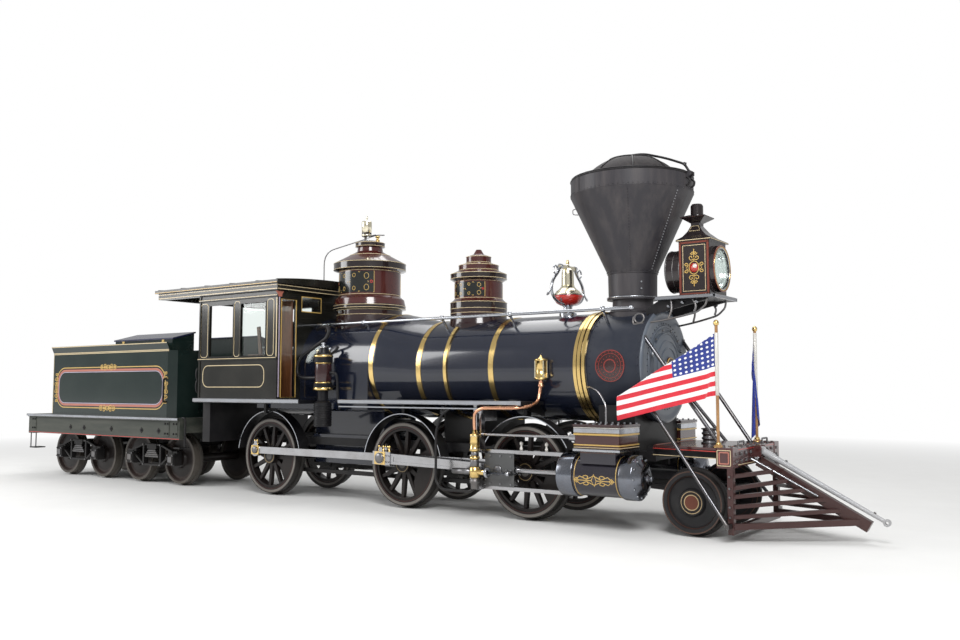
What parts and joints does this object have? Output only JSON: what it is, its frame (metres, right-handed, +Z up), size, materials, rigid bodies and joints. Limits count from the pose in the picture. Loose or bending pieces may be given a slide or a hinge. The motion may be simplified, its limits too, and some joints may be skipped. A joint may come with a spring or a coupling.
{
  "type": "steam locomotive with tender",
  "caption": "Narrow gauge wood burning steam locomotive with balloon stack, slatted pilot, open rods and a hinged tender.",
  "frame": {"origin": "mid length on the centre line, at the height of the wheel flanges' lowest points", "axes": "+X forward towards the pilot, +Y to the left side, +Z up"},
  "size_m": [12.0759, 2.12, 3.67],
  "materials": {
    "wheel_red": "satin",
    "rod_steel": "polished",
    "frame_black": "satin",
    "jacket_blue": "polished",
    "brass": "polished",
    "smoke_grey": "matt",
    "wine_paint": "gloss",
    "bell_brass": "polished",
    "cab_black": "gloss",
    "cab_wood": "varnished",
    "lamp_black": "gloss",
    "glass": "clear",
    "deck_wine": "painted",
    "link_white": "gloss",
    "copper": "polished",
    "flag_striped": "woven",
    "flag_blue": "woven",
    "staff_wood": "varnished",
    "tender_green": "gloss",
    "tender_sill": "painted"
  },
  "bodies": {
    "engine": {"guides": "rod_steel", "cylinders": "wine_paint", "engine_frame": "frame_black", "boiler": "jacket_blue", "boiler_bands": "brass", "smokebox": "smoke_grey", "saddle": "frame_black", "stack": "smoke_grey", "steam_dome": "wine_paint", "sand_dome": "wine_paint", "bell_stand": "rod_steel", "headlight": "lamp_black", "headlight_lens": "glass", "headlight_shelf": "frame_black", "running_boards": "frame_black", "cab_sides": "cab_black", "cab_front": "cab_black", "cab_roof": "cab_black", "cab_glass": "glass", "cab_fittings": "cab_wood", "pilot_deck": "deck_wine", "pilot": "deck_wine", "braces": "rod_steel", "flag_staffs": "staff_wood", "flag_right": "flag_striped", "flag_left": "flag_blue", "air_pump": "frame_black", "handrails": "rod_steel", "feed_pipes": "copper"},
    "drivers_front": {"drivers_front": "wheel_red"},
    "drivers_middle": {"drivers_middle": "wheel_red"},
    "drivers_rear": {"drivers_rear": "wheel_red"},
    "side_rod_left": {"side_rod_left": "rod_steel"},
    "side_rod_right": {"side_rod_right": "rod_steel"},
    "main_rod_left": {"main_rod_left": "rod_steel"},
    "main_rod_right": {"main_rod_right": "rod_steel"},
    "crosshead_left": {"crosshead_left": "rod_steel"},
    "crosshead_right": {"crosshead_right": "rod_steel"},
    "pony_truck": {"pony_frame": "frame_black"},
    "pony_wheelset": {"pony_wheelset": "wheel_red"},
    "truck_front": {"truck_front_frame": "frame_black"},
    "truck_front_wheelset_a": {"truck_front_wheelset_a": "frame_black"},
    "truck_front_wheelset_b": {"truck_front_wheelset_b": "frame_black"},
    "truck_rear": {"truck_rear_frame": "frame_black"},
    "truck_rear_wheelset_a": {"truck_rear_wheelset_a": "frame_black"},
    "truck_rear_wheelset_b": {"truck_rear_wheelset_b": "frame_black"},
    "smokebox_door": {"smokebox_door": "smoke_grey"},
    "stack_bonnet": {"stack_bonnet": "smoke_grey"},
    "bell": {"bell": "bell_brass"},
    "coupling_bar": {"coupling_bar": "link_white"},
    "cab_door_left": {"cab_door_left": "cab_wood"},
    "cab_door_right": {"cab_door_right": "cab_wood"},
    "fire_door": {"fire_door": "frame_black"},
    "tender": {"tender_frame": "tender_sill", "tender_tank": "tender_green", "tender_top": "tender_green"},
    "tool_box_lid_left": {"tool_box_lid_left": "jacket_blue"},
    "tool_box_lid_right": {"tool_box_lid_right": "jacket_blue"},
    "hatch_lid": {"hatch_lid": "tender_green"}
  },
  "joints": [
    {"name": "drivers_middle_spin", "type": "hinge", "parent": "engine", "child": "drivers_middle", "pos_m": [1.156, 0, 0.484], "axis": [0, 1, 0], "continuous": true},
    {"name": "drivers_front_spin", "type": "hinge", "parent": "engine", "child": "drivers_front", "pos_m": [2.762, 0, 0.484], "axis": [0, 1, 0], "continuous": true},
    {"name": "drivers_rear_spin", "type": "hinge", "parent": "engine", "child": "drivers_rear", "pos_m": [-0.998, 0, 0.484], "axis": [0, 1, 0], "continuous": true},
    {"name": "side_rod_left_pin", "type": "hinge", "parent": "drivers_middle", "child": "side_rod_left", "pos_m": [1.08657, 0.612, 0.29324], "axis": [0, 1, 0], "continuous": true},
    {"name": "crosshead_left_slide", "type": "slide", "parent": "engine", "child": "crosshead_left", "axis": [1, 0, 0], "range_m": [-0.1193, 0.2872]},
    {"name": "main_rod_left_pin", "type": "hinge", "parent": "crosshead_left", "child": "main_rod_left", "pos_m": [2.67182, 0.7, 0.51], "axis": [0, 1, 0], "range_deg": [-0.46, 14.16]},
    {"name": "side_rod_right_pin", "type": "hinge", "parent": "drivers_middle", "child": "side_rod_right", "pos_m": [0.96524, -0.612, 0.55343], "axis": [0, 1, 0], "continuous": true},
    {"name": "crosshead_right_slide", "type": "slide", "parent": "engine", "child": "crosshead_right", "axis": [1, 0, 0], "range_m": [-0.0121, 0.3944]},
    {"name": "main_rod_right_pin", "type": "hinge", "parent": "crosshead_right", "child": "main_rod_right", "pos_m": [2.56465, -0.7, 0.51], "axis": [0, 1, 0], "range_deg": [-9.8, 4.82]},
    {"name": "pony_truck_swing", "type": "hinge", "parent": "engine", "child": "pony_truck", "pos_m": [3.462, 0, 0.306], "axis": [0, 0, 1], "range_deg": [-4, 4]},
    {"name": "pony_wheels_spin", "type": "hinge", "parent": "pony_truck", "child": "pony_wheelset", "pos_m": [4.5, 0, 0.306], "axis": [0, 1, 0], "continuous": true},
    {"name": "tender_turn", "type": "hinge", "parent": "engine", "child": "tender", "pos_m": [-2.163, 0, 0.83], "axis": [0, 0, 1], "range_deg": [-5, 5]},
    {"name": "truck_front_swing", "type": "hinge", "parent": "tender", "child": "truck_front", "pos_m": [-3.273, 0, 0.357], "axis": [0, 0, 1], "range_deg": [-6, 6]},
    {"name": "truck_front_wheels_a_spin", "type": "hinge", "parent": "truck_front", "child": "truck_front_wheelset_a", "pos_m": [-2.813, 0, 0.357], "axis": [0, 1, 0], "continuous": true},
    {"name": "truck_front_wheels_b_spin", "type": "hinge", "parent": "truck_front", "child": "truck_front_wheelset_b", "pos_m": [-3.733, 0, 0.357], "axis": [0, 1, 0], "continuous": true},
    {"name": "truck_rear_swing", "type": "hinge", "parent": "tender", "child": "truck_rear", "pos_m": [-5.078, 0, 0.357], "axis": [0, 0, 1], "range_deg": [-6, 6]},
    {"name": "truck_rear_wheels_a_spin", "type": "hinge", "parent": "truck_rear", "child": "truck_rear_wheelset_a", "pos_m": [-4.618, 0, 0.357], "axis": [0, 1, 0], "continuous": true},
    {"name": "truck_rear_wheels_b_spin", "type": "hinge", "parent": "truck_rear", "child": "truck_rear_wheelset_b", "pos_m": [-5.538, 0, 0.357], "axis": [0, 1, 0], "continuous": true},
    {"name": "smokebox_door_swing", "type": "hinge", "parent": "engine", "child": "smokebox_door", "pos_m": [4.044, 0.344, 1.535], "axis": [0, 0, 1], "range_deg": [0, 85]},
    {"name": "stack_bonnet_lift", "type": "hinge", "parent": "engine", "child": "stack_bonnet", "pos_m": [4.33, 0, 3.421], "axis": [0, 1, 0], "range_deg": [0, 75]},
    {"name": "bell_swing", "type": "hinge", "parent": "engine", "child": "bell", "pos_m": [2.942, 0, 2.59], "axis": [0, 1, 0], "range_deg": [-35, 35]},
    {"name": "coupling_bar_lift", "type": "hinge", "parent": "engine", "child": "coupling_bar", "pos_m": [4.957, 0, 0.757], "axis": [0, -1, 0], "range_deg": [0, 50]},
    {"name": "cab_door_left_swing", "type": "hinge", "parent": "engine", "child": "cab_door_left", "pos_m": [-0.482, 0.705, 1.79], "axis": [0, 0, -1], "range_deg": [0, 90]},
    {"name": "cab_door_right_swing", "type": "hinge", "parent": "engine", "child": "cab_door_right", "pos_m": [-0.482, -0.705, 1.79], "axis": [0, 0, 1], "range_deg": [0, 90]},
    {"name": "fire_door_swing", "type": "hinge", "parent": "engine", "child": "fire_door", "pos_m": [-1.204, 0.186, 1.56], "axis": [0, 0, -1], "range_deg": [0, 100]},
    {"name": "tool_box_lid_left_lift", "type": "hinge", "parent": "tender", "child": "tool_box_lid_left", "pos_m": [-3.183, 0.54, 2.068], "axis": [1, 0, 0], "range_deg": [0, 75]},
    {"name": "tool_box_lid_right_lift", "type": "hinge", "parent": "tender", "child": "tool_box_lid_right", "pos_m": [-3.183, -0.54, 2.068], "axis": [-1, 0, 0], "range_deg": [0, 75]},
    {"name": "hatch_lid_lift", "type": "hinge", "parent": "tender", "child": "hatch_lid", "pos_m": [-5.128, 0, 1.972], "axis": [0, -1, 0], "range_deg": [0, 95]}
  ],
  "couplings": [
    {"joint": "drivers_front_spin", "follows": "drivers_middle_spin", "ratio": 1},
    {"joint": "drivers_rear_spin", "follows": "drivers_middle_spin", "ratio": 1},
    {"joint": "side_rod_left_pin", "follows": "drivers_middle_spin", "ratio": -1},
    {"joint": "side_rod_right_pin", "follows": "drivers_middle_spin", "ratio": -1}
  ]
}
